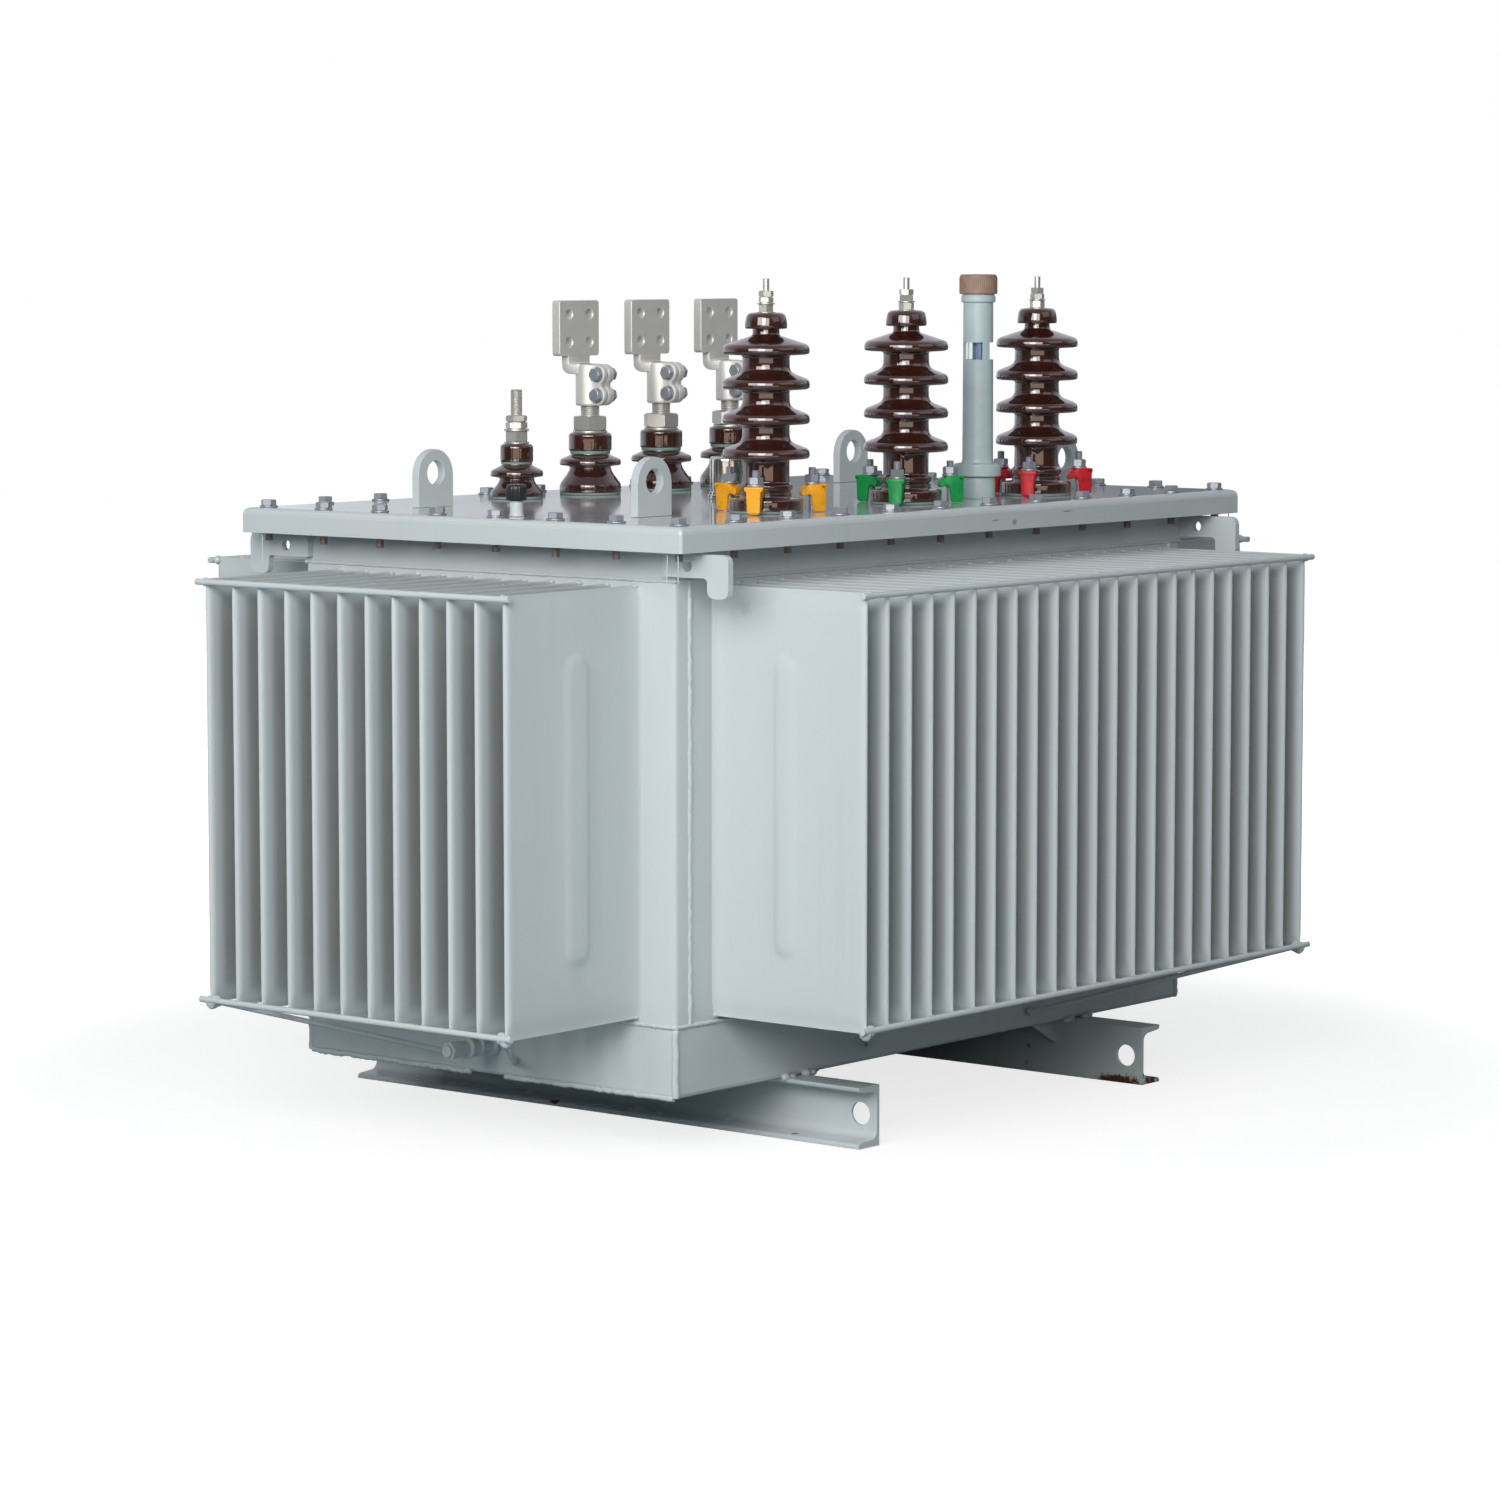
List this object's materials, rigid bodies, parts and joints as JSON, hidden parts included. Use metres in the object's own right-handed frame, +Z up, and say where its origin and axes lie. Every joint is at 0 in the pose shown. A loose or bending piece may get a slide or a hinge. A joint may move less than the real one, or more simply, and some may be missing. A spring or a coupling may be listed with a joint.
{
  "type": "oil-immersed distribution transformer",
  "caption": "Oil-filled distribution transformer: finned steel tank on two channels, bolted lid with brown porcelain bushings, palm terminals, oil gauge and lifting lugs.",
  "frame": {"origin": "centre of the outline seen from above, on the floor under the two channels", "axes": "+X along the long side of the tank, +Y from the high-voltage side (front) to the low-voltage side (back), +Z up"},
  "size_m": [1.6366, 1.1426, 1.1161],
  "materials": {
    "paint": "glossy light grey enamel with a slight blue-green tint",
    "gasket": "grey-green rubber",
    "porcelain": null,
    "tinned": "tin-plated copper, satin",
    "zinc": "zinc-plated steel fasteners",
    "stainless": "bright drawn stainless steel",
    "yellow_cap": "phase colour, glossy plastic coat",
    "green_cap": "phase colour, glossy plastic coat",
    "red_cap": "phase colour, glossy plastic coat",
    "gauge_body": "grey moulded plastic, satin",
    "tan_cap": "tan moulded plastic",
    "black_cap": "black moulded plastic",
    "core": null
  },
  "bodies": {
    "root": {"base_pan": "paint", "channel_left": "paint", "channel_right": "paint", "core_and_coils": "core", "drain_valve": "paint", "filler_cap": "black_cap", "filler_neck": "paint", "finned_wall_back": "paint", "finned_wall_front": "paint", "finned_wall_left": "paint", "finned_wall_right": "paint", "gauge_cap": "tan_cap", "hv_clamp_a1": "yellow_cap", "hv_clamp_a2": "yellow_cap", "hv_clamp_a3": "yellow_cap", "hv_clamp_b1": "green_cap", "hv_clamp_b2": "green_cap", "hv_clamp_b3": "green_cap", "hv_clamp_c1": "red_cap", "hv_clamp_c2": "red_cap", "hv_clamp_c3": "red_cap", "hv_porcelain_a": "porcelain", "hv_porcelain_b": "porcelain", "hv_porcelain_c": "porcelain", "hv_terminal_a": "tinned", "hv_terminal_b": "tinned", "hv_terminal_c": "tinned", "lid": "paint", "lid_gasket": "gasket", "lifting_lug_back_left": "paint", "lifting_lug_back_right": "paint", "lifting_lug_front_left": "paint", "lifting_lug_front_right": "paint", "lv_palm_a": "tinned", "lv_palm_b": "tinned", "lv_palm_c": "tinned", "lv_porcelain_a": "porcelain", "lv_porcelain_b": "porcelain", "lv_porcelain_c": "porcelain", "lv_stem_a": "tinned", "lv_stem_b": "tinned", "lv_stem_c": "tinned", "neutral_porcelain": "porcelain", "neutral_terminal": "tinned", "oil_gauge": "gauge_body", "relief_valve": "stainless", "tank_frame": "paint", "tank_hook_back_left": "paint", "tank_hook_back_right": "paint", "tank_hook_front_left": "paint", "tank_hook_front_right": "paint"}
  },
  "joints": []
}
